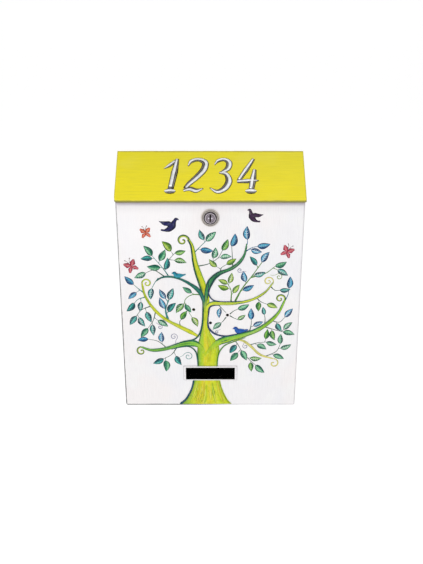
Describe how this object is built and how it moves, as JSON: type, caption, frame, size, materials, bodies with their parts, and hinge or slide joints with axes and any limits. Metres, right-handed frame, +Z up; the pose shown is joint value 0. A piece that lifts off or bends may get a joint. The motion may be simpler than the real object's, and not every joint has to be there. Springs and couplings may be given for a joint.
{
  "type": "wall mailbox",
  "caption": "Upright sheet-steel wall mailbox with a sloped hinged lid over the mail mouth, a drop-down front door with a cam lock, and a framed name plate.",
  "frame": {"origin": "centre of the four wall-screw holes, on the back plane that lies against the wall", "axes": "+Z up, +Y into the wall, so the front faces -Y and +X is to the right seen from the front"},
  "size_m": [0.263, 0.069, 0.3813],
  "materials": {
    "body_paint": "brushed-on off-white enamel, semi-matt",
    "door_paint": "hand-brushed off-white enamel with painted decoration",
    "lid_paint": "hand-brushed bright yellow enamel, semi-gloss",
    "trim_ring": "beige-grey lacquered zinc",
    "lock_nickel": "satin nickel-plated zinc die casting",
    "zinc_plate": "bright zinc plate",
    "wafer_brass": "stamped",
    "rivet_aluminium": "mill finish",
    "plate_frame": "pale satin anodised",
    "plate_window": "clear acrylic",
    "plate_card": "plain black card"
  },
  "bodies": {
    "body": {"body_shell": "body_paint", "bottom_tray": "body_paint", "rain_channel": "body_paint", "tray_rivets": "rivet_aluminium", "channel_rivets": "rivet_aluminium", "lid_hinge_body_leaf": "body_paint", "lid_hinge_pin": "zinc_plate", "door_hinge_body_leaf": "body_paint", "door_hinge_rivets": "rivet_aluminium", "door_hinge_pin": "zinc_plate"},
    "lid": {"lid_panel": "lid_paint", "lid_hinge_lid_leaf": "lid_paint"},
    "door": {"front_door": "door_paint", "door_hinge_door_leaf": "door_paint", "lock_trim_ring": "trim_ring", "lock_housing": "lock_nickel", "lock_tooth_washer": "zinc_plate", "lock_nut": "zinc_plate", "nameplate_frame": "plate_frame", "nameplate_window": "plate_window", "nameplate_card": "plate_card", "nameplate_clips": "zinc_plate"},
    "lock_core": {"lock_plug": "lock_nickel", "lock_wafers": "wafer_brass", "lock_cam": "zinc_plate", "cam_washer": "zinc_plate", "cam_screw": "zinc_plate"}
  },
  "joints": [
    {"name": "lid_hinge", "type": "hinge", "parent": "body", "child": "lid", "pos_m": [0, -0.00285, 0.1911], "axis": [-1, 0, 0], "range_deg": [0, 110]},
    {"name": "door_hinge", "type": "hinge", "parent": "body", "child": "door", "pos_m": [0, -0.06215, -0.1858], "axis": [1, 0, 0], "range_deg": [0, 100]},
    {"name": "lock_turn", "type": "hinge", "parent": "door", "child": "lock_core", "pos_m": [0, -0.059, 0.1141], "axis": [0, 1, 0], "range_deg": [0, 180]}
  ]
}
